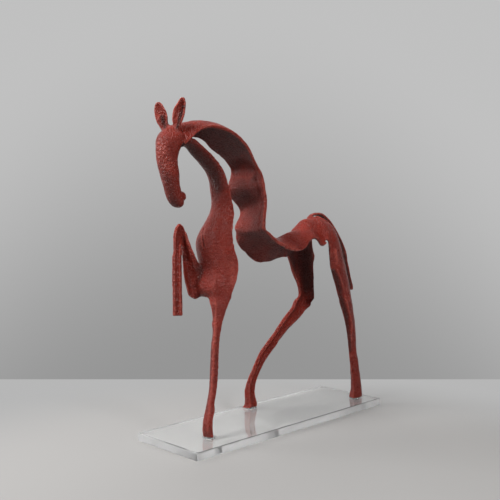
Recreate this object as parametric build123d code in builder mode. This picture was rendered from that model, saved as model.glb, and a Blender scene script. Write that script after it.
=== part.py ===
import os

from build123d import *

os.makedirs("parts", exist_ok=True)

# Driving dimensions, in millimetres

# Horse, from the top of the pads to the tip of the taller ear
horse_height = 397

# Clear plate, reaching past the front and rear feet
plate_front_overhang = 49.5
plate_rear_overhang = 23
plate_width = 110
plate_thickness = 10
plate_edge_break = 0.8

# Places of the three standing feet
left_fore_foot = (-125.5, -20)
left_hind_foot = (152, -28)
right_hind_foot = (6, 40.5)

# Soft clear pad under each foot
pad_diameter = 14
pad_thickness = 1

# Socket screw and washer from below, one for each foot
screw_diameter = 4
screw_length = 16
screw_head_diameter = 7
screw_head_height = 4
screw_head_inset = 0.8
screw_socket_width = 3
screw_socket_depth = 2
screw_edge_break = 0.4
washer_diameter = 8.6
washer_thickness = 0.8
washer_clearance = 0.4
plate_bore_clearance = 0.6
recess_clearance = 0.8
thread_clearance = 0.2
thread_run_out = 2

# Formed sheet
crest_sheet = 4
throat_sheet = 4
forearm_sheet = 4
cannon_sheet = 4.6
thigh_sheet = 4
shank_sheet = 5
tail_sheet = 3.6
ear_sheet = 2.8
foot_sheet = 10

# Shares of the croup edge: end of the left thigh, start and end of the tail, start of the right thigh
tail_slots = (0.435, 0.45, 0.59, 0.605)

# Round pegs that locate the ears in the head
ear_peg_diameter = 4
ear_peg_length = 6
ear_peg_clearance = 0.2

# Chin curl under the muzzle
chin_radius = 6

# Height of the drawing that the heights of the stations below are taken from
drawn_height = 397

rise = horse_height / drawn_height
deck = plate_thickness + pad_thickness
feet = (left_fore_foot, left_hind_foot, right_hind_foot)
recess_depth = screw_head_inset + screw_head_height + washer_thickness
screw_seat = recess_depth - washer_thickness
tapped_depth = screw_seat + screw_length + thread_run_out - deck
down = Vector(0, 0, -1)
up = Vector(0, 0, 1)


# Working shapes

def over(x, y, height):
    """A place above the plate, with its drawn height taken from the top of the pads."""
    return Vector(x, y, deck + height * rise)


def strip_plane(right, left, along):
    """Plane through both rails, square to the run, facing along it."""
    across = (right - left).normalized()
    return Plane(origin=(right + left) / 2, x_dir=across, z_dir=along - across * along.dot(across))


def strip_section(right, left, along, crown, sheet, lean=0, share=(0, 1)):
    """Bowed strip from the left rail to the right rail, on the plane square to the run."""
    chord = right - left
    right_end = Vector(chord.length / 2, 0)
    left_end = Vector(-chord.length / 2, 0)
    pull = Vector(lean * chord.length, 2 * crown)

    def spot(t):
        return left_end * (1 - t)**2 + pull * (2 * t * (1 - t)) + right_end * t**2

    def way(t):
        return (pull - left_end) * (2 - 2 * t) + (right_end - pull) * (2 * t)

    first, last = share
    places = (first, (first + last) / 2, last)
    lift = [way(t).normalized().rotate(Axis.Z, 90) * (sheet / 2) for t in places]
    outside = [spot(t) + rise for t, rise in zip(places, lift)]
    inside = [spot(t) - rise for t, rise in zip(places, lift)]
    with BuildSketch(strip_plane(right, left, along)) as section:
        with BuildLine():
            Bezier(outside[0], outside[1] * 2 - (outside[0] + outside[2]) / 2, outside[2])
            Line(outside[2], inside[2])
            Bezier(inside[2], inside[1] * 2 - (inside[0] + inside[2]) / 2, inside[0])
            Line(inside[0], outside[0])
        make_face()
    return section.sketch


def strip_sections(stations, first_way, last_way):
    """Sections of a formed strip; a station is right rail, left rail, crown, sheet and lean."""
    centres = [(station[0] + station[1]) / 2 for station in stations]
    ways = [after - before for before, after in zip(centres, centres[2:])]
    return [
        strip_section(right, left, along, crown, *rest)
        for (right, left, crown, *rest), along in zip(stations, [first_way, *ways, last_way])
    ]


# Crest: neck arch, withers, back and croup in one run of sheet

croup_way = Vector(1, 0, 0)
crest = [
    (over(-157, 15, 343), over(-158, -15, 343), 22, crest_sheet),
    (over(-140, 16, 351), over(-147, -17, 353), 18, crest_sheet),
    (over(-120, 19, 358), over(-132, -21, 364), 12, crest_sheet),
    (over(-98, 22, 356), over(-112, -25, 366), 10, crest_sheet),
    (over(-82, 26, 348), over(-92, -28, 360), 9, crest_sheet),
    (over(-66, 29, 341), over(-75, -30, 349), 7, crest_sheet),
    (over(-48, 30, 331), over(-58, -30, 327), 7, crest_sheet),
    (over(-40, 31, 317), over(-48, -30, 314), 8.5, crest_sheet),
    (over(-45, 31, 300), over(-41, -30, 301), 0, crest_sheet),
    (over(-40, 31, 286), over(-39, -30, 286), 6.5, crest_sheet),
    (over(-27, 30, 273), over(-39, -30, 274), 9, crest_sheet),
    (over(-28, 30, 256), over(-41, -30, 257), 4, crest_sheet),
    (over(-31, 31, 240), over(-39, -31, 244), 2, crest_sheet),
    (over(-30.5, 30, 229), over(-29, -31, 236), 8, crest_sheet),
    (over(-21, 28, 215.5), over(-13, -32, 226), 14, crest_sheet, -0.1),
    (over(-7, 25, 204), over(5, -32, 219), 20, crest_sheet, -0.2),
    (over(6, 22.5, 199), over(23, -32, 216), 24, crest_sheet, -0.3),
    (over(28, 22, 202), over(43, -32, 227), 20, crest_sheet, -0.4),
    (over(45, 22, 204), over(61, -32, 229), 26, crest_sheet, -0.42),
    (over(62, 23, 207), over(80, -32, 228), 35, crest_sheet, -0.42),
]
withers = 12
crest_sections = strip_sections(crest, Vector(1, 0, 0.3), croup_way)


croup_right, croup_left, *croup_bow = crest[-1]
croup_end = strip_plane(croup_right, croup_left, croup_way)


def croup_share(first, last):
    """Part of the last crest section, where a hind piece takes over from the croup."""
    return strip_section(croup_right, croup_left, croup_way, *croup_bow, (first, last))


# Head: closed form from the poll down to the muzzle, with the chin curl

head_rings = [
    (-159, 367, 8, 8),
    (-165, 358, 13, 13),
    (-170, 340, 15, 13.5),
    (-171, 324, 12.5, 11.5),
    (-167.5, 309, 11.5, 11),
    (-164, 294, 10.5, 9.5),
    (-159.5, 282, 9.8, 9),
    (-157, 276, 7.8, 7.4),
    (-155.8, 273, 4.6, 4.6),
    (-155.4, 272, 2, 2),
]
head_sections = []
for ring_x, ring_height, half_depth, half_breadth in head_rings:
    with BuildSketch(Plane(over(ring_x, 0, ring_height), x_dir=(1, 0, 0), z_dir=down)) as ring:
        Ellipse(half_depth, half_breadth)
    head_sections.append(ring.sketch)

with BuildPart() as head_form:
    loft(head_sections)
    with Locations(over(-151, 0, 285)):
        Sphere(chin_radius)

# Ears: folded leaves, each on a round peg let into the head

left_ear_leaf = [
    (over(-165, -5, 352), over(-160, -11, 352), 0, ear_sheet, -0.1),
    (over(-166.5, -5.5, 364), over(-161.5, -11.5, 364), -0.8, ear_sheet, -0.1),
    (over(-167, -6, 375), over(-159, -14.5, 375), -3, ear_sheet, -0.12),
    (over(-165, -8, 385.5), over(-157.5, -16, 385.5), -3, ear_sheet, -0.12),
    (over(-163, -10, 393), over(-157.5, -16, 393), -1.5, ear_sheet, -0.1),
    (over(-161.5, -12, 397), over(-158.5, -15, 397), -0.6, ear_sheet),
]
right_ear_leaf = [
    (over(-167, 12, 352), over(-164, 5, 352), -1, ear_sheet, -0.1),
    (over(-170, 13, 362), over(-166, 4.5, 362), -2, ear_sheet, -0.1),
    (over(-173, 16, 372), over(-167.5, 4, 372), -3, ear_sheet, -0.12),
    (over(-175, 18.5, 382.5), over(-169.5, 5.5, 382.5), -3, ear_sheet, -0.12),
    (over(-175.5, 17, 389), over(-171.5, 8.5, 389), -1.5, ear_sheet, -0.1),
    (over(-174.5, 14, 392.5), over(-172.5, 11, 392.5), -0.6, ear_sheet),
]
ear_roots = [over(-164, -9, 367), over(-168.5, 8.5, 365)]

with BuildPart() as left_ear:
    loft(strip_sections(left_ear_leaf, up, up))
    add(head_form.part, mode=Mode.SUBTRACT)
    with Locations(ear_roots[0]):
        Cylinder(ear_peg_diameter / 2, ear_peg_length + 2, align=(Align.CENTER, Align.CENTER, Align.MAX))
left_ear.part.label = "left_ear"

with BuildPart() as right_ear:
    loft(strip_sections(right_ear_leaf, up, up))
    add(head_form.part, mode=Mode.SUBTRACT)
    with Locations(ear_roots[1]):
        Cylinder(ear_peg_diameter / 2, ear_peg_length + 2, align=(Align.CENTER, Align.CENTER, Align.MAX))
right_ear.part.label = "right_ear"

with BuildPart() as head:
    add(head_form.part)
    for root in ear_roots:
        with Locations(root):
            Cylinder((ear_peg_diameter + ear_peg_clearance) / 2, ear_peg_length + 2 + ear_peg_clearance,
                     align=(Align.CENTER, Align.CENTER, Align.MAX), mode=Mode.SUBTRACT)
head.part.label = "head"

# Neck arch of the crest, coped to the head

with BuildPart() as mane_ribbon:
    loft(crest_sections[:withers + 1])
    add(head_form.part, mode=Mode.SUBTRACT)
mane_ribbon.part.label = "mane_ribbon"

# Back and croup of the crest, butted to the neck arch at the withers

with BuildPart() as back_sheet:
    loft(crest_sections[withers:])
    split(bisect_by=croup_end, keep=Keep.BOTTOM)
back_sheet.part.label = "back_sheet"

# Throat and breast: gutter bowed to the front

throat = [
    (over(-152, 10, 349), over(-152, -10, 349), -6, throat_sheet),
    (over(-137, 12, 350.5), over(-137, -12, 350.5), -8, throat_sheet),
    (over(-119, 13, 338), over(-119, -13, 338), -9, throat_sheet),
    (over(-98, 14, 320), over(-98, -14, 320), -10, throat_sheet),
    (over(-88, 14.5, 299), over(-88, -14.5, 299), -11, throat_sheet),
    (over(-84, 17, 277), over(-84, -17, 277), -11.5, throat_sheet),
    (over(-89.5, 23, 253), over(-88.5, -23, 253), -14, throat_sheet),
    (over(-99, 29, 231), over(-92, -27, 228), -20, throat_sheet),
    (over(-94, 31, 208), over(-88, -31, 206), -20, throat_sheet),
    (over(-93, 30, 188), over(-91, -31, 188), -20, throat_sheet),
    (over(-95.5, 27.5, 165), over(-96, -28.5, 165), -18, throat_sheet),
]

with BuildPart() as throat_breast:
    loft(strip_sections(throat, Vector(1, 0, 0.2), down))
    add(head_form.part, mode=Mode.SUBTRACT)
    add(mane_ribbon.part, mode=Mode.SUBTRACT)
throat_breast.part.label = "throat_breast"

# Standing left foreleg, grown from the left half of the breast edge

fore_x, fore_y = left_fore_foot
breast_right, breast_left, breast_crown, breast_sheet = throat[-1]
foreleg = [
    (over(-113.3, -16.7, 148), over(-103.7, -24.3, 148), -2.5, shank_sheet),
    (over(-114.2, -17.8, 128), over(-110.3, -23.2, 128), -3, shank_sheet),
    (over(-117.6, -16.9, 98), over(-114, -23, 98), -3, shank_sheet),
    (over(-120.5, -17.5, 63), over(-117.2, -23.3, 63), -2.5, shank_sheet),
    (over(fore_x - 1.5, fore_y + 3, 29), over(fore_x + 0.5, fore_y - 3, 29), -2, shank_sheet + 1),
    (over(fore_x - 1.6, fore_y + 4.6, 0), over(fore_x + 1.5, fore_y - 4.5, 0), -1, foot_sheet),
]
foreleg_sections = [strip_section(breast_right, breast_left, down, breast_crown, breast_sheet, 0, (0, 0.45))]
foreleg_sections += [strip_section(right, left, down, *rest) for right, left, *rest in foreleg]

with BuildPart() as left_foreleg:
    loft(foreleg_sections)
    with Locations(over(fore_x, fore_y, 0)):
        Cylinder((screw_diameter + thread_clearance) / 2, tapped_depth,
                 align=(Align.CENTER, Align.CENTER, Align.MIN), mode=Mode.SUBTRACT)
left_foreleg.part.label = "left_foreleg"

# Raised right foreleg: forearm gutter from the breast up to the knee, without the offcut behind the breast

knee_way = Vector(-1, 0, 0)
forearm = [
    (over(-107, 10.5, 199), over(-107, 10.5, 169), 1, forearm_sheet),
    (over(-115, 13.5, 209), over(-121, 13, 162.5), 8, forearm_sheet),
    (over(-121, 16.5, 223), over(-129, 16.5, 177), 8, forearm_sheet),
    (over(-127, 20, 241), over(-130.5, 20, 204), 7, forearm_sheet),
    (over(-131.5, 20, 249), over(-131, 20, 222), 5, forearm_sheet),
    (over(-136.5, 20, 252), over(-132.5, 20, 229), 4, forearm_sheet),
]
forearm_sections = strip_sections(forearm, knee_way, knee_way)

with BuildPart() as right_forearm:
    loft(forearm_sections)
    add(throat_breast.part, mode=Mode.SUBTRACT)
    add(right_forearm.solids().sort_by(SortBy.VOLUME)[-1], mode=Mode.REPLACE)
right_forearm.part.label = "right_forearm"

# Raised right foreleg: cannon channel hanging from the knee

cannon = [
    (over(-141.2, 20.7, 246), over(-134.3, 19.8, 228), 4, cannon_sheet),
    (over(-143.4, 21.9, 232), over(-136, 18.5, 224), 3.5, cannon_sheet),
    (over(-144.4, 22.4, 214), over(-137, 17.6, 214), 3, cannon_sheet),
]
cannon_end = (over(-144, 23, 141.5), over(-136.5, 17, 141.5), 3, cannon_sheet)
cannon_sections = [forearm_sections[-1]] + strip_sections(cannon, Vector(-0.7, 0, -0.7), down)

with BuildPart() as right_cannon:
    loft(cannon_sections)
    loft([cannon_sections[-1], strip_section(cannon_end[0], cannon_end[1], down, *cannon_end[2:])])
right_cannon.part.label = "right_cannon"

# Left hind leg: thigh grown from the croup edge, then the shank down to the foot

hind_x, hind_y = left_hind_foot
left_thigh_run = [
    (over(89, -6, 260), over(83, -32, 225), 7, thigh_sheet),
    (over(100, -17, 252), over(85, -31.5, 216), 6, thigh_sheet),
    (over(110, -26, 230), over(87, -31, 206), 6, thigh_sheet),
    (over(119, -28, 203), over(90, -30, 194), 6, thigh_sheet),
    (over(127, -28, 180), over(97, -28.5, 178), 7, thigh_sheet),
    (over(134, -27, 162), over(106, -27, 162), 7, thigh_sheet),
    (over(138.5, -27, 146), over(112, -27, 147), 7, thigh_sheet),
]
left_shank_run = [
    (over(144, -26.5, 122), over(123.5, -26.5, 122), 6, shank_sheet),
    (over(148.5, -26.5, 92), over(133.5, -26.5, 92), 5, shank_sheet),
    (over(152, -26.5, 62), over(138.5, -26.5, 62), 4, shank_sheet),
    (over(hind_x + 5.5, hind_y + 1, 30), over(hind_x - 8, hind_y + 1, 30), 3, shank_sheet + 1),
    (over(hind_x + 9, hind_y + 1, 0), over(hind_x - 9, hind_y + 1, 0), 2, foot_sheet),
]
left_thigh_sections = [croup_share(0, tail_slots[0])] + strip_sections(left_thigh_run, Vector(0.8, -0.3, -0.5), down)
left_shank_sections = [left_thigh_sections[-1]] + [strip_section(a, b, down, *c) for a, b, *c in left_shank_run]

with BuildPart() as left_thigh:
    loft(left_thigh_sections)
left_thigh.part.label = "left_thigh"

with BuildPart() as left_shank:
    loft(left_shank_sections)
    with Locations(over(hind_x, hind_y, 0)):
        Cylinder((screw_diameter + thread_clearance) / 2, tapped_depth,
                 align=(Align.CENTER, Align.CENTER, Align.MIN), mode=Mode.SUBTRACT)
left_shank.part.label = "left_shank"

# Right hind leg: thigh grown from the croup edge, then the shank stepping forward to the foot

step_x, step_y = right_hind_foot
right_thigh_run = [
    (over(70, 27, 198), over(96, 12, 254), 8, thigh_sheet),
    (over(77, 29, 187), over(113, 24, 236), 7, thigh_sheet),
    (over(84, 30, 176), over(122, 29, 211), 6, thigh_sheet),
    (over(91, 30, 165), over(125, 30, 186), 6, thigh_sheet),
    (over(96, 31, 154), over(126, 30, 164), 6, thigh_sheet),
    (over(95, 31, 145), over(128, 30, 139), 6, thigh_sheet),
]
hock_way = Vector(-0.2, 0, -0.98)
right_shank_run = [
    (over(84, 32, 132), over(109, 31.5, 122), 5, shank_sheet),
    (over(68, 32.5, 118), over(84, 32.5, 105), 4.5, shank_sheet),
    (over(53, 33.5, 103), over(64, 33.5, 91), 4, shank_sheet),
    (over(37, 34.5, 88), over(47, 34.5, 77), 4, shank_sheet),
    (over(22, 36, 73), over(33, 36, 64), 4, shank_sheet),
    (over(11, 37.5, 55), over(22, 37.5, 50), 3.5, shank_sheet),
    (over(step_x - 4, step_y - 1, 36), over(step_x + 8, step_y - 1, 35), 3, shank_sheet + 1),
    (over(step_x - 7, step_y, 17), over(step_x + 7, step_y, 17), 2.5, shank_sheet + 3),
    (over(step_x - 10, step_y, 0), over(step_x + 9, step_y, 0), 2, foot_sheet + 2),
]
right_thigh_sections = [croup_share(tail_slots[3], 1)] + strip_sections(right_thigh_run, Vector(0.8, 0.3, -0.5), hock_way)
right_shank_sections = [right_thigh_sections[-1]] + strip_sections(right_shank_run, Vector(-0.6, 0, -0.7), down)

with BuildPart() as right_thigh:
    loft(right_thigh_sections)
right_thigh.part.label = "right_thigh"

with BuildPart() as right_shank:
    loft(right_shank_sections)
    with Locations(over(step_x, step_y, 0)):
        Cylinder((screw_diameter + thread_clearance) / 2, tapped_depth,
                 align=(Align.CENTER, Align.CENTER, Align.MIN), mode=Mode.SUBTRACT)
right_shank.part.label = "right_shank"

# Tail strip, grown from the middle of the croup edge

tail_run = [
    (over(92, 5, 262), over(90, -3, 263), 1.5, tail_sheet),
    (over(112, 7, 258), over(109, -5, 260), 2, tail_sheet),
    (over(130, 8, 243), over(127, -7, 244), 2.5, tail_sheet),
    (over(148, 8, 220), over(145, -8, 221), 2.5, tail_sheet),
    (over(158, 7, 196), over(155, -8, 197), 2.5, tail_sheet),
    (over(166, 5, 172), over(164, -7, 172), 2, tail_sheet),
    (over(175, 2, 152), over(173, -5, 152), 1.5, tail_sheet),
]
tail_sections = [croup_share(tail_slots[1], tail_slots[2])]
tail_sections += strip_sections(tail_run, Vector(1, 0, 0), Vector(0.4, 0, -0.9))

with BuildPart() as tail:
    loft(tail_sections)
    add(left_thigh.part, mode=Mode.SUBTRACT)
    add(right_thigh.part, mode=Mode.SUBTRACT)
tail.part.label = "tail"

# Clear plate, bored and recessed from below for the three screws

plate_front = left_fore_foot[0] - plate_front_overhang
plate_rear = left_hind_foot[0] + plate_rear_overhang

with BuildPart() as base_plate:
    with Locations(((plate_front + plate_rear) / 2, 0)):
        Box(plate_rear - plate_front, plate_width, plate_thickness,
            align=(Align.CENTER, Align.CENTER, Align.MIN))
    chamfer(base_plate.edges(), plate_edge_break)
    with Locations(*feet):
        Cylinder((screw_diameter + plate_bore_clearance) / 2, plate_thickness,
                 align=(Align.CENTER, Align.CENTER, Align.MIN), mode=Mode.SUBTRACT)
        Cylinder((washer_diameter + recess_clearance) / 2, recess_depth,
                 align=(Align.CENTER, Align.CENTER, Align.MIN), mode=Mode.SUBTRACT)
base_plate.part.label = "base_plate"

# Foot pads on top of the plate

with BuildPart() as foot_pads:
    with BuildSketch(Plane.XY.offset(plate_thickness)):
        with Locations(*feet):
            Circle(pad_diameter / 2)
            Circle((screw_diameter + plate_bore_clearance) / 2, mode=Mode.SUBTRACT)
    extrude(amount=pad_thickness)
foot_pads.part.label = "foot_pads"

# Washers on the ceilings of the recesses

with BuildPart() as foot_washers:
    with BuildSketch(Plane.XY.offset(screw_seat)):
        with Locations(*feet):
            Circle(washer_diameter / 2)
            Circle((screw_diameter + washer_clearance) / 2, mode=Mode.SUBTRACT)
    extrude(amount=washer_thickness)
foot_washers.part.label = "foot_washers"

# Socket screws up through washer, plate and pad into the tapped feet

with BuildPart() as foot_screws:
    with BuildSketch(Plane.XY.offset(screw_head_inset)):
        with Locations(*feet):
            Circle(screw_head_diameter / 2)
    extrude(amount=screw_head_height)
    chamfer(foot_screws.edges().filter_by(GeomType.CIRCLE).group_by(Axis.Z)[0], screw_edge_break)
    with BuildSketch(Plane.XY.offset(screw_seat)):
        with Locations(*feet):
            Circle(screw_diameter / 2)
    extrude(amount=screw_length)
    chamfer(foot_screws.edges().filter_by(GeomType.CIRCLE).group_by(Axis.Z)[-1], screw_edge_break)
    with BuildSketch(Plane.XY.offset(screw_head_inset)):
        with Locations(*feet):
            RegularPolygon(screw_socket_width / 2, 6, major_radius=False)
    extrude(amount=screw_socket_depth, mode=Mode.SUBTRACT)
foot_screws.part.label = "foot_screws"

pieces = (
    base_plate, foot_pads, foot_washers, foot_screws,
    head, left_ear, right_ear, mane_ribbon, back_sheet, throat_breast,
    left_foreleg, right_forearm, right_cannon,
    left_thigh, left_shank, right_thigh, right_shank, tail,
)
for piece in pieces:
    export_step(piece.part, "parts/" + piece.part.label + ".step")
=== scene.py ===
import bmesh
import bpy
import numpy as np
from mathutils import Matrix, Vector, noise
from mathutils.bvhtree import BVHTree
from mathutils.kdtree import KDTree


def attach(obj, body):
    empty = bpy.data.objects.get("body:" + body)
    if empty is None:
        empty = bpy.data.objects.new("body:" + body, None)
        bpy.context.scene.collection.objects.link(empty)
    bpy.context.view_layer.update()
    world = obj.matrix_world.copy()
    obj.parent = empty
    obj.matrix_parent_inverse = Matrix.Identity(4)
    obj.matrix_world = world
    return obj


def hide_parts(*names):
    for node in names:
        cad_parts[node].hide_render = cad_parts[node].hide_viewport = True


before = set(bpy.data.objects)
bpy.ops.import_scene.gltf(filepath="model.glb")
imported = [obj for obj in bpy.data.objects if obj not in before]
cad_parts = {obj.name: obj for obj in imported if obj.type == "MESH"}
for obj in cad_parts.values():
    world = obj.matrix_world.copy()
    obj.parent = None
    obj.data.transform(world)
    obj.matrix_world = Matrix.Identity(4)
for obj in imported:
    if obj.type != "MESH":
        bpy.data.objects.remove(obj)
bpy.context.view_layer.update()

# Millimetres in a metre
metre = 1000

# Camera: the photograph's place, in metres, its direction and its lens
camera_place = Vector((-0.7154, -0.6724, 0.2760))
camera_way = Vector((0.7096, 0.7028, -0.0488))
camera_lens = 53.8
camera_sensor = 36
camera_nearest = 0.01

# Stage: level direction away from the camera, direction to its right, and the place that the lamps face
level_way = Vector((camera_way.x, camera_way.y, 0)).normalized()
side_way = Vector((level_way.y, -level_way.x, 0))
stage_middle = Vector((0, 0, 0.2))

# Lacquered sheets of the horse, in the order they were welded
sheet_nodes = (
    "head", "left_ear", "right_ear", "mane_ribbon", "back_sheet", "throat_breast",
    "left_foreleg", "right_forearm", "right_cannon",
    "left_thigh", "left_shank", "right_thigh", "right_shank", "tail",
)

# Fineness of the welded skin, in metres
merge_gap = 0.000002
skin_voxel = 0.0008

# Ground welds: rings of the skin that they reach, and passes of rubbing down
weld_rings = 9
weld_passes = 30
planish_passes = 6

# Rubbing down: share of the way to the neighbours at each pass, and the least share that counts
rub_stroke = 0.5
rub_least = 0.01

# Hand work on the skin, in millimetres: length and reach of each kind of wave, and where its noise starts
waver_length = 17
waver_reach = 0.75
waver_start = Vector((3.1, 7.7, 1.3))
nick_length = 4.2
nick_reach = 0.18
nick_start = Vector((6.4, 2.2, 9.1))
dent_length = 5.5
dent_depth = 0.20
dent_start = Vector((9.2, 0.4, 5.8))
hammer_length = 1.9
hammer_depth = 0.10
hammer_start = Vector((2.6, 8.1, 4.4))

# The noise is the same at every run
noise_seed = 3
noise.seed_set(noise_seed)

# Heights, in millimetres, where the feet stop lying flat and are free to be worked
foot_flat = 11
foot_free = 23

# Legs waver by this share only, from the first height up to full waver at the second
leg_share = 0.15
leg_start = 60
leg_free = 200

# The raised foreleg lies in front of this place and below this height
raised_front = -112
raised_top = 262

# Height of a ridge, in millimetres, that is rubbed all the way
rub_height = 0.07

# Painted shade, darker where light from above is blocked: coarseness, rays and their reach
shelter_voxel = 0.003
shelter_rays = 40
shelter_reach = 0.10

# Golden angle that spreads the rays, the flattest ray counted, nearest places averaged, passes of softening
shelter_turn = 2.39996
shelter_graze = 0.1
shelter_near = 4
shelter_passes = 6

# Least square of a line's length, so that a single point counts as a line
least_square = 1e-9

# Directions for the hand: away from the camera, to its right, and up
away = np.array((0.71, 0.70, 0.0))
right = np.array((0.704, -0.710, 0.0))
up = np.array((0.0, 0.0, 1.0))

# Shaping by hand, in millimetres: a line on the skin, how far the pull reaches, and the pull itself
pulls = (
    # Pleats of the neck: valleys, then ridges
    (((-41, 28, 327), (-37, 8, 329), (-42, -16, 327)), 5, away * 1.8),
    (((-37, 29, 292), (-30, 10, 293), (-32, -13, 292)), 5, away * 1.8),
    (((-40, 28, 312), (-36, 9, 313), (-40, -15, 312)), 8, away * -2.2),
    (((-33, 23, 255), (-34, 2, 256), (-38, -20, 256)), 7, away * -2.0),
    # Top of the standing foreleg, drawn forward to the breast and outward
    (((-114, -14, 167), (-103, -21, 167)), 9, away * -2.6),
    (((-115, -16, 170), (-116, -18, 158), (-116, -20, 144)), 5.5, right * -2.4),
    # Breast: right edge, lower edge, and the valley beside the raised forearm
    (((-98, -29.5, 195), (-99.5, -28.5, 183)), 7, right * 2.6),
    (((-113, 8, 178), (-112, -3, 178)), 6, up * -1.5),
    (((-122, 14.5, 181),), 6, up * -3.0 - right * 1.5),
    (((-115, 13, 177),), 4, up * 2.0),
    (((-114, 14, 206), (-115, 13, 195), (-114, 13, 182)), 4.5, away * -3.2),
    # Foot of the standing foreleg spread
    (((-120, -25, 42), (-121, -25, 24)), 6, right * 2.6),
    (((-125, -25.5, 40), (-127, -25.5, 28), (-128, -25.5, 16)), 7, right * 1.0),
    (((-122.5, -24.5, 66), (-125, -25.5, 46), (-128, -25.5, 16)), 9, right * 0.8),
    # Right shank drawn thinner below its hock, and the hock's point
    (((106, 32.5, 137), (92, 32, 126), (73, 33, 113), (55, 34, 100)), 5, up * 1.9 - right * 2.3),
    (((116, 32, 142),), 5, right * 2.5),
    # Hind feet spread
    (((147.5, -23.5, 12), (146.5, -23, 50)), 5, right * -1.6),
    (((156.5, -32.5, 12), (154.5, -31.5, 45), (150, -31, 66)), 6, right * 1.5),
    (((12, 34.5, 38), (13, 34, 45), (18, 30, 65)), 7, right * 2.0),
    (((1, 39, 20),), 6, right * -1.2),
    # Raised knee
    (((-136, 20, 258),), 6, up * 2.2),
    # Edge of the back: lobe under it, far rise of the croup, near notch and lobe
    (((52, 19, 214),), 8, up * 3.5),
    (((53.5, 2, 261),), 7, up * -3.0),
    (((63, -10, 268),), 5, up * 1.2),
    (((80, -32, 228),), 6.4, up * 9.0),
    (((66, -31, 235),), 4, up * -2.2),
    (((50, -32, 242),), 7, up * -0.8),
    (((24, -12, 249), (38, -12, 252)), 7, up * 1.8),
    # Belly: its step, its corner and the straight run behind it
    (((-19, 24.7, 224),), 5, up * 1.8),
    (((12.5, 18.3, 212.5),), 8, up * 1.5),
    (((43, 19, 217.5),), 5, up * -0.7),
    # Right thigh, rear edge
    (((121, 29, 214),), 9, right * 2.4),
    # Ears: right tip, and both outer edges
    (((-176, 10, 400),), 8, up * 1.0),
    (((-173, 14, 392), (-173, 14, 382)), 4, right * -1.6),
    (((-165, -7, 397), (-164, -8, 385)), 4, right * -1.8),
)

# Creases scored into the seen side: a line, the width of the crease, and its depth; ridges are negative
scores = (
    # Breast, and the raised forearm
    (((-111, 6, 257), (-117, 1, 246), (-117, -2, 237)), 1.3, 1.7),
    (((-128, 20, 251), (-122, 18, 229), (-114, 16, 209)), 3.0, -1.4),
    (((-124, 23, 222), (-122, 21, 205), (-121, 17, 187)), 3.0, 1.5),
    # Croup, left thigh, and the ridge down the left hind leg
    (((86, -9, 272), (97, -20, 264)), 1.8, 2.2),
    (((94, -36, 226), (96, -35.5, 208)), 2.6, -1.0),
    (((99, -35, 198), (110, -35, 178), (121, -34.5, 152.5), (133.5, -34, 122),
      (139.5, -30, 73)), 2.2, -1.4),
    # Near side of the neck's pleats
    (((-40.5, -12, 330), (-44, -20, 318), (-41.6, -21.8, 305), (-36.6, -19.5, 295.4),
      (-31.5, -15.5, 285.5), (-35, -17.3, 275), (-38.6, -18.9, 265), (-37.8, -17.2, 255)), 2.8, 1.6),
    # Cheek and throat
    (((-158, -9, 372), (-156, -16, 359), (-160, -10, 350)), 1.2, 1.1),
    (((-107, 0, 322), (-100, 2, 304), (-97, 3, 294)), 1.2, 1.2),
    # Ridges of the breast, and the ridge down the standing foreleg
    (((-97, -5, 285), (-105, -12, 262), (-112, -14, 238)), 4.0, -1.2),
    (((-109, -14, 218), (-114, -16, 191), (-112, -17, 168)), 4.5, -1.8),
    (((-102, -21, 229), (-101.5, -22, 218), (-104, -23, 192)), 5.0, -1.2),
    (((-114, -20, 168), (-117.5, -22, 137), (-120.3, -22.5, 100), (-122.5, -22.5, 72),
      (-131, -23.5, 20)), 2.5, -1.1),
    # Inside both ears
    (((-170, 5.5, 393), (-168, 9, 384), (-170, 7.5, 374)), 2.2, 1.1),
    (((-159.5, -12.5, 401), (-160, -11.5, 387), (-163, -11, 375)), 1.3, 0.9),
)

# Edges left ragged by the cutter: throat, jaw and near side of the back; how wide and how far they fray
frayed = (
    ((-116.5, -14, 345), (-104, -14.5, 334), (-94, -14.5, 319), (-89.5, -15, 304),
     (-88, -17, 286), (-90, -22.5, 268), (-93, -29, 232)),
    ((-165, -10, 339), (-164, -10.5, 323), (-159.5, -8.5, 308)),
    ((-18, -31.5, 238.5), (-2.5, -31, 232), (11.5, -32.5, 229), (28, -32, 232)),
)
fray_width = 4
fray_reach = 0.8

# Welds dressed down wider: a line, its reach and how often it is rubbed
dressings = (
    # Breast, above the standing foreleg and beside the raised forearm
    (((-113, -14, 176), (-100, -27, 178)), 7, 60),
    (((-114, 13, 205), (-116, 12, 180)), 8, 60),
    # Rise from the back to the croup, and the notch in its near edge
    (((34, -18, 248), (52, -4, 258), (64, -6, 267)), 11, 120),
    (((64, -32, 238), (79, -31, 238)), 4, 40),
)
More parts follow.
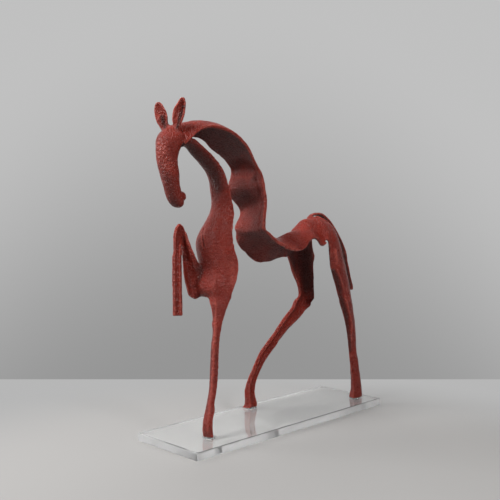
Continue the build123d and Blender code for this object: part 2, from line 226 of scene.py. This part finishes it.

# Painted shade along a line: a line, its reach and its share; a painted highlight where the share is
# negative
painted_shades_and_highlights = (
    # Painted shade on the inner strip of the left hind leg, the thigh's flank beside the tail, and the tail
    (((94.5, -32.5, 196.5), (101.5, -32.5, 184.5), (115, -31, 154.5), (125, -31.5, 131.5),
      (137, -29.5, 81)), 3.6, 0.6),
    (((112, -34, 218), (119, -33, 197), (130, -31, 175)), 4, 0.5),
    (((140, -5, 240), (149, -6, 222), (161, -8, 190), (171, -6, 172)), 6, 0.35),
    # Painted shade on the right thigh's inner side
    (((110, 33, 222), (110, 33, 206), (114, 34, 172)), 13, 0.45),
    # Painted shade on the throat under the jaw, and on the nose
    (((-141, -1, 353), (-130, -6, 346), (-116, -8, 336), (-104, -7, 322), (-98, -8, 307)), 9, 0.5),
    (((-175, -6, 314), (-171, -6, 303), (-166, -6, 291)), 9, 0.3),
    # Painted shade in the valley of the breast, and on the inner half of the standing foreleg
    (((-114, 9, 208), (-116, 5, 196), (-116, 0, 187)), 8, 0.35),
    (((-116, -15, 150), (-120, -18, 113), (-123, -19, 72), (-130, -21, 38)), 4, 0.3),
    # Painted highlights on the brow, ears, upper pleat, breast, back and thigh
    (((-183, -7, 350), (-178, -8, 331)), 7, -0.5),
    (((-174, 15, 398), (-172.6, 14.7, 386)), 3, -0.8),
    (((-165.5, -8, 396), (-166.8, -7.2, 388)), 2.5, -0.6),
    (((-41, 20, 322), (-41, 8, 323), (-42, -5, 322)), 5, -0.6),
    (((-96.5, -27.4, 218), (-96, -30.3, 196)), 7, -0.5),
    (((-12, -32, 238), (4, -31, 235), (15, -29, 234)), 6, -0.5),
    (((92, -36, 223), (100, -37, 206)), 5, -0.5),
    (((118, -36, 172), (127, -36, 155)), 3.5, -0.5),
    # Painted shade inside both ears
    (((-170, 12, 388), (-168.8, 10.3, 381.5), (-168.9, 6.5, 374)), 2.6, 0.9),
    (((-158.7, -13.5, 398), (-159.7, -11.1, 390.6), (-161.8, -10, 382.6), (-165, -10.6, 374)), 2.2, 0.9),
)

# Beads under the feet, in millimetres: places, profile as radius and height, steps round
foot_places = ((-125.5, -20), (152, -28), (6, 40.5))
bead_profile = ((2.3, 10.02), (2.3, 10.98), (7.6, 10.98), (8.1, 10.75), (8.3, 10.35), (8.2, 10.02))
bead_steps = 72

# Beads beyond this radius swell unevenly, by this share, in lumps of this size
bead_rim = 7.5
bead_swell = 0.12
bead_lump = 2.6

# Clear plate: half sizes in metres, how far in and how strongly its cut sides are frosted, and the painted
# highlight that makes the far cut side whiter still
plate_half_length = 0.1750
plate_half_width = 0.0550
cut_edge_depth = 0.0006
cut_edge_share = 0.28
far_edge_painted_highlight = 0.60
cut_edge_white = (0.90, 0.90, 0.90)

# Table top: just below the plate, with its far edge this far in front of the camera
table_drop = 0.0004
table_far_edge = 1.235
table_reach = 3.0
table_roughness = 0.6
table_grey = (0.45, 0.44, 0.43)

# The table pales all round a spot in front of the horse, between these two distances, to this level
table_pale_spot = -0.25
table_pale_range = (0.28, 0.55)
table_pale = 0.47

# Hammered grain: waves to the metre, softness or detail of each, and its strength and depth as a bump
pebble_scale = 430
pebble_softness = 0.6
grain_scale = 950
grain_detail = 3
fleck_scale = 60
fleck_detail = 5
bump_strength = 0.9
bump_depth = 0.0014

# Red lacquer: its colours, the worn one also used for painted highlights and the darkest for painted shade,
# and the ranges of fleck, rub and painted highlight, and painted shade over which they change
lacquer_red = (0.320, 0.030, 0.017)
lacquer_deep = (0.215, 0.020, 0.012)
# Worn colour of rubbed ridges, also used for painted highlights
lacquer_worn_and_highlight = (0.450, 0.074, 0.052)
# Painted shade colour, where light from above is blocked
lacquer_painted_shade = (0.075, 0.009, 0.006)
fleck_range = (0.25, 0.75)
worn_and_highlight_range = (0.15, 0.9)
hollow_range = (-0.15, -0.8)
painted_shade_range = (0.05, 0.92)

# Gloss of the lacquer: grain heights, the roughness at each, and the strength of the shine
gloss_range = (-0.3, 0.5)
gloss_roughness = (0.40, 0.22)
lacquer_shine = 0.4

# Clear plastics and steel: colour, how much light passes, bending of light
acrylic_clear = (0.985, 0.99, 0.99)
acrylic_bending = 1.49
pad_clear = (0.97, 0.98, 0.98)
pad_passing = 0.85
pad_bending = 1.45
steel_grey = (0.62, 0.63, 0.65)

# Shade that a clear piece leaves on what lies below it
clear_shade = (0.58, 0.58, 0.58)

# Marks in a gloss: waves to the metre, detail, range of the noise, and the roughness at each end
wiping_marks = (35, 4, (0.45, 0.8), (0.0, 0.06))
pad_clouds = (400, 3, (0.3, 0.7), (0.08, 0.3))
turning_marks = (900, 2, (0.3, 0.7), (0.22, 0.42))

# Backdrop: greys at the bottom and at the top, and the heights between which they change
wall_low = (0.30, 0.30, 0.30)
wall_high = (0.53, 0.53, 0.53)
wall_range = (-0.22, 0.28)

# Backdrop: how much higher it counts to the right and to both sides, and where it fades beside the horse
wall_lean = 0.09
wall_bow = 1.5
wall_reach = (0.35, 0.75)
surround_level = 0.03

# Softboxes: name, place from the stage's middle, width, power in watts, and whether they show in the gloss
rise = Vector((0, 0, 1))
softboxes = (
    ("left_side", rise * 0.55 - side_way * 1.05, 0.45, 7.0, True),
    ("left_top", rise * 1.0 - side_way * 0.6 - level_way * 0.5, 0.3, 9.5, True),
    ("right_top", rise * 0.7 + side_way * 0.6 - level_way * 0.8, 0.25, 5.5, True),
    ("back_top", rise * 0.9 + level_way * 0.8, 0.9, 5, False),
)


# Small tools

def shown(name, mesh):
    """A new object that shows this mesh where its vertices lie."""
    piece = bpy.data.objects.new(name, mesh)
    bpy.context.scene.collection.objects.link(piece)
    return piece


def settled(piece):
    """The piece's mesh with its modifiers worked in; the piece itself goes."""
    bpy.context.view_layer.update()
    mesh = bpy.data.meshes.new_from_object(piece.evaluated_get(bpy.context.evaluated_depsgraph_get()))
    bpy.data.objects.remove(piece)
    return mesh


def places_of(mesh):
    """Vertex places of a mesh in millimetres."""
    places = np.empty(len(mesh.vertices) * 3)
    mesh.vertices.foreach_get("co", places)
    return places.reshape(-1, 3) * metre


def put_places(mesh, places):
    """Moves a mesh's vertices to these places, given in millimetres."""
    mesh.vertices.foreach_set("co", (places / metre).ravel())
    mesh.update()


def normals_of(mesh):
    """Vertex normals of a mesh."""
    normals = np.empty(len(mesh.vertices) * 3)
    mesh.vertex_normals.foreach_get("vector", normals)
    return normals.reshape(-1, 3)


def edges_of(mesh):
    """Vertex numbers at both ends of each edge."""
    ends = np.empty(len(mesh.edges) * 2, dtype=np.int32)
    mesh.edges.foreach_get("vertices", ends)
    return ends.reshape(-1, 2)


def neighbour_mean(values, ends):
    """Mean of each vertex's neighbours, one row for each vertex."""
    size = len(values)
    near = np.bincount(ends.ravel(), minlength=size)
    total = np.empty_like(values)
    for column in range(values.shape[1]):
        row = values[:, column]
        from_second = np.bincount(ends[:, 0], row[ends[:, 1]], size)
        from_first = np.bincount(ends[:, 1], row[ends[:, 0]], size)
        total[:, column] = from_second + from_first
    return total / near[:, None]


# Skin of the horse

def welded_blank(voxel):
    """Copies of the formed sheets, merged and grown together at their welds."""
    blank = bmesh.new()
    for name in sheet_nodes:
        blank.from_mesh(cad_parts[name].data)
    bmesh.ops.remove_doubles(blank, verts=blank.verts, dist=merge_gap)
    mesh = bpy.data.meshes.new("welded_blank")
    blank.to_mesh(mesh)
    blank.free()
    mesh.materials.clear()
    piece = shown("welded_blank", mesh)
    weld = piece.modifiers.new("weld", "REMESH")
    weld.mode = "VOXEL"
    weld.voxel_size = voxel
    return settled(piece)


def sheet_finder():
    """A search tree over all sheets and the number of the sheet each of its faces belongs to."""
    corners = []
    faces = []
    owners = []
    for number, name in enumerate(sheet_nodes):
        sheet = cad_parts[name].data
        start = len(corners)
        corners += [vertex.co for vertex in sheet.vertices]
        faces += [[start + index for index in face.vertices] for face in sheet.polygons]
        owners += [number] * len(sheet.polygons)
    return BVHTree.FromPolygons(corners, faces), owners


def weld_share(mesh, ends, finder, owners):
    """1 on the weld lines between sheets, fading to 0 some rings away."""
    sheet = np.array([owners[finder.find_nearest(vertex.co)[2]] for vertex in mesh.vertices])
    across = ends[sheet[ends[:, 0]] != sheet[ends[:, 1]]]
    share = np.zeros(len(mesh.vertices))
    share[across.ravel()] = 1
    for ring in range(weld_rings):
        spread = share.copy()
        np.maximum.at(spread, ends[:, 0], share[ends[:, 1]] - 1 / weld_rings)
        np.maximum.at(spread, ends[:, 1], share[ends[:, 0]] - 1 / weld_rings)
        share = spread
    return share


def rubbed_down(places, ends, share, passes):
    """Places after rubbing towards their neighbours, by each one's share."""
    share = np.where(share > rub_least, share, 0)
    numbers, near = np.unique(ends[(share > 0)[ends].any(1)], return_inverse=True)
    near = near.reshape(-1, 2)
    worked = places[numbers]
    step = rub_stroke * share[numbers][:, None]
    for turn in range(passes):
        worked = worked + (neighbour_mean(worked, near) - worked) * step
    places = places.copy()
    places[numbers] = worked
    return places


def waver(places, length, start):
    """A slow, uneven drift of space, for edges cut and bent by hand."""
    return np.array([noise.noise_vector(Vector(place) / length + start) for place in places])


def dents(places, length, start):
    """Uneven shallow dents, one height for each place."""
    return np.array([noise.noise(Vector(place) / length + start) for place in places])


def line_distance(places, line):
    """Distance of each place from a run of straight lines, or from a single point."""
    nearest = np.full(len(places), np.inf)
    for start, end in zip(line, line[1:] or line):
        start = np.array(start, dtype=float)
        span = np.array(end) - start
        along = np.clip((places - start) @ span / max(span @ span, least_square), 0, 1)
        nearest = np.minimum(nearest, np.linalg.norm(places - start - along[:, None] * span, axis=1))
    return nearest


def fading(places, line, reach):
    """1 on a line, fading out over its reach."""
    return np.exp(-(line_distance(places, line) / reach) ** 2)


def shaped(mesh, ends):
    """The skin drawn, dressed and scored by hand along its lines."""
    places = places_of(mesh)
    for line, reach, pull in pulls:
        places = places + fading(places, line, reach)[:, None] * pull
    for line, reach, passes in dressings:
        places = rubbed_down(places, ends, fading(places, line, reach), passes)
    put_places(mesh, places)
    normals = normals_of(mesh)
    seen = normals @ away < 0
    for line, width, depth in scores:
        places = places - normals * (fading(places, line, width) * depth * seen)[:, None]
    put_places(mesh, places)


def hammered(mesh):
    """Edges wavering and nicked, sheets dented and hammered, with the feet left flat on their beads."""
    places = places_of(mesh)
    height = places[:, 2]
    foot_hold = np.clip((height - foot_flat) / (foot_free - foot_flat), 0, 1)[:, None]
    leg_hold = np.clip((height - leg_start) / (leg_free - leg_start), leg_share, 1)[:, None]
    leg_hold[(places[:, 0] < raised_front) & (height < raised_top)] = leg_share
    fray = np.max([fading(places, line, fray_width) for line in frayed], axis=0)[:, None]
    drift = waver(places, waver_length, waver_start) * waver_reach * leg_hold
    drift += waver(places, nick_length, nick_start) * (nick_reach + fray_reach * fray)
    put_places(mesh, places + drift * foot_hold)
    places = places_of(mesh)
    depth = dents(places, dent_length, dent_start) * dent_depth
    depth += dents(places, hammer_length, hammer_start) * hammer_depth
    put_places(mesh, places + normals_of(mesh) * depth[:, None] * foot_hold)


def openness(mesh):
    """How open each vertex of the skin lies to light from above, from 0 in a closed hollow upwards."""
    coarse = welded_blank(shelter_voxel)
    walls = BVHTree.FromPolygons(
        [vertex.co for vertex in coarse.vertices],
        [list(face.vertices) for face in coarse.polygons],
    )
    turn = np.arange(shelter_rays) * shelter_turn
    lift = 1 - 2 * (np.arange(shelter_rays) + 0.5) / shelter_rays
    flat = np.sqrt(1 - lift ** 2)
    ways = [Vector(way) for way in np.stack((flat * np.cos(turn), flat * np.sin(turn), lift), 1)]
    tree = KDTree(len(coarse.vertices))
    level = np.empty(len(coarse.vertices))
    for vertex in coarse.vertices:
        normal = Vector(vertex.normal)
        start = vertex.co + normal * shelter_voxel
        whole = 0
        free = 0
        for way in ways:
            facing = way.dot(normal)
            if facing > shelter_graze:
                whole += facing
                if walls.ray_cast(start, way, shelter_reach)[0] is None:
                    free += facing * (1 + way.z)
        level[vertex.index] = free / whole
        tree.insert(vertex.co, vertex.index)
    tree.balance()
    found = [tree.find_n(vertex.co, shelter_near) for vertex in mesh.vertices]
    bpy.data.meshes.remove(coarse)
    return np.array([sum(level[index] for spot, index, gap in near) / shelter_near for near in found])


def toned(mesh, ends):
    """Notes for the lacquer: painted shade, darker where light from above is blocked and along the listed
    lines, and rub, from filled hollow to worn ridge, with painted highlights added.
    """
    places = places_of(mesh)
    swell = ((places - neighbour_mean(places, ends)) * normals_of(mesh)).sum(1, keepdims=True)
    swell = neighbour_mean(neighbour_mean(swell, ends), ends)
    free = openness(mesh)[:, None]
    for turn in range(shelter_passes):
        free = neighbour_mean(free, ends)
    # Painted shade: the less open a place is to light from above, the darker its lacquer is painted
    dark = np.clip(1 - free.ravel(), 0, 1)
    wear_and_highlight = swell.ravel() / rub_height
    # Painted shade along the listed lines; where the share is negative, a painted highlight is added to the
    # rub note
    for line, reach, share in painted_shades_and_highlights:
        mark = fading(places, line, reach) * share
        dark = dark + mark
        wear_and_highlight = wear_and_highlight - np.minimum(mark, 0)
    for name, values in (("painted_shade", np.clip(dark, 0, 1)), ("rub_and_highlight", np.clip(wear_and_highlight, -1, 1))):
        note = mesh.attributes.new(name, "FLOAT", "POINT")
        note.data.foreach_set("value", values)


def hand_worked(mesh, finder, owners):
    """The welded skin ground, shaped and hammered, with its hollows and ridges, painted shade and painted
    highlights noted for the lacquer.
    """
    ends = edges_of(mesh)
    places = places_of(mesh)
    places = rubbed_down(places, ends, weld_share(mesh, ends, finder, owners), weld_passes)
    places = rubbed_down(places, ends, np.ones(len(places)), planish_passes)
    put_places(mesh, places)
    shaped(mesh, ends)
    hammered(mesh)
    toned(mesh, ends)


def parted(mesh, owners, number):
    """One sheet's share of the skin, closed where it meets its neighbours."""
    share = bmesh.new()
    share.from_mesh(mesh)
    flat = share.faces.layers.int.new("cap")
    others = [face for face, owner in zip(share.faces, owners) if owner != number]
    bmesh.ops.delete(share, geom=others, context="FACES")
    rims = [edge for edge in share.edges if edge.is_boundary]
    caps = bmesh.ops.holes_fill(share, edges=rims, sides=0)["faces"]
    for face in share.faces:
        face.smooth = True
    for cap in bmesh.ops.triangulate(share, faces=caps)["faces"]:
        cap[flat] = 1
        cap.smooth = False
    part = bpy.data.meshes.new(sheet_nodes[number] + "_skin")
    share.to_mesh(part)
    share.free()
    return part


def keep_normals(part):
    """Shades the part with the whole skin's normals, so that no weld line shows."""
    corner_vertex = np.empty(len(part.loops), dtype=np.int32)
    part.loops.foreach_get("vertex_index", corner_vertex)
    smooth = np.empty(len(part.vertices) * 3)
    part.attributes["skin_normal"].data.foreach_get("vector", smooth)
    normals = smooth.reshape(-1, 3)[corner_vertex]
    cap = np.empty(len(part.polygons), dtype=np.int32)
    part.attributes["cap"].data.foreach_get("value", cap)
    for face in np.flatnonzero(cap):
        polygon = part.polygons[face]
        normals[list(polygon.loop_indices)] = polygon.normal
    part.normals_split_custom_set(normals)
    part.attributes.remove(part.attributes["skin_normal"])
    part.attributes.remove(part.attributes["cap"])


def horse_skin(lacquer):
    """The whole horse as one hand-worked skin, parted again into its named sheets."""
    skin = welded_blank(skin_voxel)
    finder, owners = sheet_finder()
    hand_worked(skin, finder, owners)
    smooth = skin.attributes.new("skin_normal", "FLOAT_VECTOR", "POINT")
    smooth.data.foreach_set("vector", normals_of(skin).ravel())
    face_sheet = [owners[finder.find_nearest(face.center)[2]] for face in skin.polygons]
    for number, name in enumerate(sheet_nodes):
        part = parted(skin, face_sheet, number)
        keep_normals(part)
        part.materials.append(lacquer)
        piece = shown(name + "_skin", part)
        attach(piece, "root")
        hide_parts(name)
    bpy.data.meshes.remove(skin)


# Clear beads under the feet

def foot_beads(material):
    """Flat clear beads of set plastic between the feet and the plate, uneven round their rims."""
    beads = bmesh.new()
    for foot in foot_places:
        middle = Vector((*foot, 0))
        rim = []
        for reach, height in bead_profile:
            rim.append(beads.verts.new((middle + Vector((reach, 0, height))) / metre))
        loop = [beads.edges.new((first, second)) for first, second in zip(rim, rim[1:] + rim[:1])]
        bmesh.ops.spin(
            beads, geom=rim + loop, cent=middle / metre, axis=(0, 0, 1), angle=2 * np.pi,
            steps=bead_steps, use_merge=True,
        )
        for vertex in beads.verts:
            out = (vertex.co * metre - middle).xy
            if bead_rim < out.length < 2 * bead_rim:
                swell = 1 + bead_swell * noise.noise(vertex.co.xy.to_3d() * metre / bead_lump)
                vertex.co.xy = (middle.xy + out * swell) / metre
    bmesh.ops.recalc_face_normals(beads, faces=beads.faces)
    for face in beads.faces:
        face.smooth = True
    mesh = bpy.data.meshes.new("foot_beads")
    beads.to_mesh(mesh)
    beads.free()
    mesh.materials.append(material)
    piece = shown("foot_beads", mesh)
    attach(piece, "root")
    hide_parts("foot_pads")


# Materials

def new_material(name):
    """A material, its nodes, its links and its shader."""
    material = bpy.data.materials.new(name)
    material.use_nodes = True
    nodes = material.node_tree.nodes
    return material, nodes, material.node_tree.links, nodes["Principled BSDF"]


def new_group(name, inputs, outputs):
    """A shader node group with its sockets by name."""
    group = bpy.data.node_groups.new(name, "ShaderNodeTree")
    for label, kind in inputs:
        group.interface.new_socket(label, in_out="INPUT", socket_type=kind)
    for label, kind in outputs:
        group.interface.new_socket(label, in_out="OUTPUT", socket_type=kind)
    nodes = group.nodes
    return group, nodes, group.links, nodes.new("NodeGroupInput"), nodes.new("NodeGroupOutput")


def noise_node(nodes, links, vector, scale, detail):
    """A noise texture of this scale, in waves to the metre, on a vector."""
    node = nodes.new("ShaderNodeTexNoise")
    node.inputs["Scale"].default_value = scale
    node.inputs["Detail"].default_value = detail
    links.new(vector, node.inputs["Vector"])
    return node.outputs["Fac"]


def ramp(nodes, links, value, limits, results=(0, 1)):
    """A smooth step from the first result to the second while the value goes between its limits."""
    node = nodes.new("ShaderNodeMapRange")
    node.interpolation_type = "SMOOTHSTEP"
    for label, number in zip(("From Min", "From Max", "To Min", "To Max"), limits + results):
        node.inputs[label].default_value = number
    links.new(value, node.inputs["Value"])
    return node.outputs["Result"]


def reckoned(nodes, links, operation, *values):
    """The result of a sum on sockets and plain numbers."""
    node = nodes.new("ShaderNodeMath")
    node.operation = operation
    for socket, value in zip(node.inputs, values):
        if isinstance(value, bpy.types.NodeSocket):
            links.new(value, socket)
        else:
            socket.default_value = value
    return node.outputs["Value"]


def share_along(nodes, links, vector, way):
    """How much of a vector points along a way."""
    node = nodes.new("ShaderNodeVectorMath")
    node.operation = "DOT_PRODUCT"
    node.inputs[1].default_value = way
    links.new(vector, node.inputs[0])
    return node.outputs["Value"]


def mixed(nodes, links, share, first, second):
    """Colour mix; first and second are colours or sockets."""
    node = nodes.new("ShaderNodeMix")
    node.data_type = "RGBA"
    links.new(share, node.inputs["Factor"])
    for socket, colour in ((node.inputs[6], first), (node.inputs[7], second)):
        if isinstance(colour, tuple):
            socket.default_value = (*colour, 1)
        else:
            links.new(colour, socket)
    return node.outputs[2]


def laid_over(nodes, links, share, first, second):
    """The second surface laid over the first by its share."""
    node = nodes.new("ShaderNodeMixShader")
    links.new(share, node.inputs["Fac"])
    links.new(first, node.inputs[1])
    links.new(second, node.inputs[2])
    return node.outputs["Shader"]


def uneven_gloss(nodes, links, shader, marks):
    """Roughness that goes up and down with marks in the surface."""
    scale, detail, limits, roughness = marks
    place = nodes.new("ShaderNodeTexCoord")
    mark = noise_node(nodes, links, place.outputs["Object"], scale, detail)
    links.new(ramp(nodes, links, mark, limits, roughness), shader.inputs["Roughness"])


def hammered_grain_group():
    """Fine hammered grain: a height for bump and an uneven fleck for colour and gloss."""
    group, nodes, links, source, result = new_group(
        "hammered_grain",
        [("Vector", "NodeSocketVector")],
        [("Height", "NodeSocketFloat"), ("Fleck", "NodeSocketFloat")],
    )
    place = source.outputs["Vector"]
    pebble = nodes.new("ShaderNodeTexVoronoi")
    pebble.feature = "SMOOTH_F1"
    pebble.inputs["Scale"].default_value = pebble_scale
    pebble.inputs["Smoothness"].default_value = pebble_softness
    links.new(place, pebble.inputs["Vector"])
    grain = noise_node(nodes, links, place, grain_scale, grain_detail)
    height = reckoned(nodes, links, "SUBTRACT", grain, pebble.outputs["Distance"])
    links.new(height, result.inputs["Height"])
    links.new(noise_node(nodes, links, place, fleck_scale, fleck_detail), result.inputs["Fleck"])
    return group


def red_lacquer(grain_group):
    """Satin dark red lacquer over hammered sheet, rubbed paler along its ridges, darker in its hollows,
    with painted highlights and painted shade.
    """
    material, nodes, links, shader = new_material("red_lacquer")
    place = nodes.new("ShaderNodeTexCoord")
    grain = nodes.new("ShaderNodeGroup")
    grain.node_tree = grain_group
    links.new(place.outputs["Object"], grain.inputs["Vector"])
    rub_and_highlight = nodes.new("ShaderNodeAttribute")
    rub_and_highlight.attribute_name = "rub_and_highlight"
    painted_shade = nodes.new("ShaderNodeAttribute")
    painted_shade.attribute_name = "painted_shade"
    tone = ramp(nodes, links, grain.outputs["Fleck"], fleck_range)
    # Rub-wear on ridges and painted highlights, both mixed towards the worn colour
    worn_and_highlight_share = ramp(nodes, links, rub_and_highlight.outputs["Fac"], worn_and_highlight_range)
    hollow = ramp(nodes, links, rub_and_highlight.outputs["Fac"], hollow_range)
    # Painted shade mixed into the colour where light from above is blocked
    dim = ramp(nodes, links, painted_shade.outputs["Fac"], painted_shade_range)
    colour = mixed(nodes, links, tone, lacquer_deep, lacquer_red)
    colour = mixed(nodes, links, worn_and_highlight_share, colour, lacquer_worn_and_highlight)
    colour = mixed(nodes, links, hollow, colour, lacquer_deep)
    colour = mixed(nodes, links, dim, colour, lacquer_painted_shade)
    links.new(colour, shader.inputs["Base Color"])
    gloss = ramp(nodes, links, grain.outputs["Height"], gloss_range, gloss_roughness)
    links.new(gloss, shader.inputs["Roughness"])
    shader.inputs["Specular IOR Level"].default_value = lacquer_shine
    bump = nodes.new("ShaderNodeBump")
    bump.inputs["Strength"].default_value = bump_strength
    bump.inputs["Distance"].default_value = bump_depth
    links.new(grain.outputs["Height"], bump.inputs["Height"])
    links.new(bump.outputs["Normal"], shader.inputs["Normal"])
    return material


def let_light_through(nodes, links, surface):
    """Light passes a clear piece, so that its shadow stays pale."""
    rays = nodes.new("ShaderNodeLightPath")
    open_air = nodes.new("ShaderNodeBsdfTransparent")
    open_air.inputs["Color"].default_value = (*clear_shade, 1)
    lit = laid_over(nodes, links, rays.outputs["Is Shadow Ray"], surface, open_air.outputs["BSDF"])
    links.new(lit, nodes["Material Output"].inputs["Surface"])


def cut_edge(nodes, links, vector):
    """1 on the plate's four cut sides, 0 inside and on its faces; and the same for the far side alone."""
    parts = nodes.new("ShaderNodeSeparateXYZ")
    links.new(vector, parts.inputs["Vector"])
    sides = []
    for axis, half in (("X", plate_half_length), ("Y", plate_half_width)):
        reach = reckoned(nodes, links, "ABSOLUTE", parts.outputs[axis])
        sides.append(reckoned(nodes, links, "GREATER_THAN", reach, half - cut_edge_depth))
    far = reckoned(nodes, links, "GREATER_THAN", parts.outputs["Y"], plate_half_width - cut_edge_depth)
    return reckoned(nodes, links, "MAXIMUM", *sides), far


def clear_acrylic():
    """Polished clear acrylic, with faint wiping marks in its gloss, pale cut edges and a painted highlight
    along the far cut side.
    """
    material, nodes, links, shader = new_material("clear_acrylic")
    shader.inputs["Base Color"].default_value = (*acrylic_clear, 1)
    shader.inputs["Transmission Weight"].default_value = 1
    shader.inputs["IOR"].default_value = acrylic_bending
    uneven_gloss(nodes, links, shader, wiping_marks)
    cut = nodes.new("ShaderNodeBsdfDiffuse")
    cut.inputs["Color"].default_value = (*cut_edge_white, 1)
    place = nodes.new("ShaderNodeTexCoord")
    sides, far_side = cut_edge(nodes, links, place.outputs["Object"])
    # Painted highlight: the far cut side is painted whiter than the others
    whiter = reckoned(nodes, links, "MULTIPLY", far_side, far_edge_painted_highlight)
    share = reckoned(nodes, links, "MULTIPLY_ADD", sides, cut_edge_share, whiter)
    edged = laid_over(nodes, links, share, shader.outputs["BSDF"], cut.outputs["BSDF"])
    let_light_through(nodes, links, edged)
    return material


def clear_pad():
    """Soft clear plastic of the beads under the feet."""
    material, nodes, links, shader = new_material("clear_pad")
    shader.inputs["Base Color"].default_value = (*pad_clear, 1)
    shader.inputs["Transmission Weight"].default_value = pad_passing
    shader.inputs["IOR"].default_value = pad_bending
    uneven_gloss(nodes, links, shader, pad_clouds)
    let_light_through(nodes, links, shader.outputs["BSDF"])
    return material


def screw_steel():
    """Turned stainless steel of the screws and washers."""
    material, nodes, links, shader = new_material("screw_steel")
    shader.inputs["Base Color"].default_value = (*steel_grey, 1)
    shader.inputs["Metallic"].default_value = 1
    uneven_gloss(nodes, links, shader, turning_marks)
    return material


# Stage

def photo_camera():
    """Camera at the photograph's place."""
    data = bpy.data.cameras.new("photo_camera")
    data.lens = camera_lens
    data.sensor_width = camera_sensor
    data.clip_start = camera_nearest
    camera = bpy.data.objects.new("photo_camera", data)
    camera.location = camera_place
    camera.rotation_euler = camera_way.to_track_quat("-Z", "Y").to_euler()
    bpy.context.scene.collection.objects.link(camera)
    bpy.context.scene.camera = camera


def table_finish():
    """Pale matt grey that the camera sees paler away from the horse."""
    material, nodes, links, shader = new_material("table")
    shader.inputs["Base Color"].default_value = (*table_grey, 1)
    shader.inputs["Roughness"].default_value = table_roughness
    place = nodes.new("ShaderNodeTexCoord")
    distance = nodes.new("ShaderNodeVectorMath")
    distance.operation = "DISTANCE"
    distance.inputs[1].default_value = level_way * table_pale_spot
    links.new(place.outputs["Object"], distance.inputs[0])
    pale = ramp(nodes, links, distance.outputs["Value"], table_pale_range)
    rays = nodes.new("ShaderNodeLightPath")
    seen = reckoned(nodes, links, "MULTIPLY", pale, rays.outputs["Is Camera Ray"])
    far_table = nodes.new("ShaderNodeEmission")
    far_table.inputs["Strength"].default_value = table_pale
    top = laid_over(nodes, links, seen, shader.outputs["BSDF"], far_table.outputs["Emission"])
    links.new(top, nodes["Material Output"].inputs["Surface"])
    return material


def table():
    """Table top whose far edge crosses the view behind the plate."""
    top = bmesh.new()
    bmesh.ops.create_grid(top, x_segments=1, y_segments=1, size=table_reach)
    turn = level_way.to_track_quat("X", "Z").to_matrix().to_4x4()
    below_camera = Vector((camera_place.x, camera_place.y, -table_drop))
    middle = below_camera + level_way * (table_far_edge - table_reach)
    bmesh.ops.transform(top, matrix=Matrix.Translation(middle) @ turn, verts=top.verts)
    mesh = bpy.data.meshes.new("table")
    top.to_mesh(mesh)
    top.free()
    mesh.materials.append(table_finish())
    shown("table", mesh)


def softbox(name, place, width, power, shine):
    """Square area light at a place, turned to the middle of the stage; it may show in the gloss or not."""
    data = bpy.data.lights.new(name, "AREA")
    data.size = width
    data.energy = power
    lamp = bpy.data.objects.new(name, data)
    lamp.location = place
    lamp.rotation_euler = (stage_middle - place).to_track_quat("-Z", "Y").to_euler()
    lamp.visible_transmission = False
    lamp.visible_glossy = shine
    bpy.context.scene.collection.objects.link(lamp)


def wall_height(nodes, links, way):
    """Height on the backdrop, counted higher towards its sides, where it is paler."""
    parts = nodes.new("ShaderNodeSeparateXYZ")
    links.new(way, parts.inputs["Vector"])
    side = share_along(nodes, links, way, side_way)
    bow = reckoned(nodes, links, "MULTIPLY", side, side)
    leaning = reckoned(nodes, links, "MULTIPLY_ADD", side, wall_lean, parts.outputs["Z"])
    return reckoned(nodes, links, "MULTIPLY_ADD", bow, wall_bow, leaning)


def backdrop():
    """Grey wall, darker towards the table, seen by the camera, in the gloss and through clear pieces."""
    world = bpy.data.worlds.new("studio")
    bpy.context.scene.world = world
    world.use_nodes = True
    nodes = world.node_tree.nodes
    links = world.node_tree.links
    surround = nodes["Background"]
    surround.inputs["Color"].default_value = (1, 1, 1, 1)
    surround.inputs["Strength"].default_value = surround_level
    place = nodes.new("ShaderNodeTexCoord")
    way = place.outputs["Generated"]
    rays = nodes.new("ShaderNodeLightPath")
    seen = rays.outputs["Is Camera Ray"]
    wall = nodes.new("ShaderNodeBackground")
    height = ramp(nodes, links, wall_height(nodes, links, way), wall_range)
    links.new(mixed(nodes, links, height, wall_low, wall_high), wall.inputs["Color"])
    behind = share_along(nodes, links, way, level_way)
    reach = ramp(nodes, links, behind, wall_reach, (surround_level, 1))
    links.new(reckoned(nodes, links, "MAXIMUM", reach, seen), wall.inputs["Strength"])
    for other in ("Is Glossy Ray", "Is Transmission Ray"):
        seen = reckoned(nodes, links, "MAXIMUM", seen, rays.outputs[other])
    room = laid_over(nodes, links, seen, surround.outputs["Background"], wall.outputs["Background"])
    links.new(room, nodes["World Output"].inputs["Surface"])


def dress(name, material):
    """Gives a CAD node its finish."""
    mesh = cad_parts[name].data
    mesh.materials.clear()
    mesh.materials.append(material)


photo_camera()
table()
backdrop()
for name, place, width, power, shine in softboxes:
    softbox(name, stage_middle + place, width, power, shine)
horse_skin(red_lacquer(hammered_grain_group()))
dress("base_plate", clear_acrylic())
foot_beads(clear_pad())
steel = screw_steel()
dress("foot_washers", steel)
dress("foot_screws", steel)

bpy.context.scene.view_settings.view_transform = "Standard"
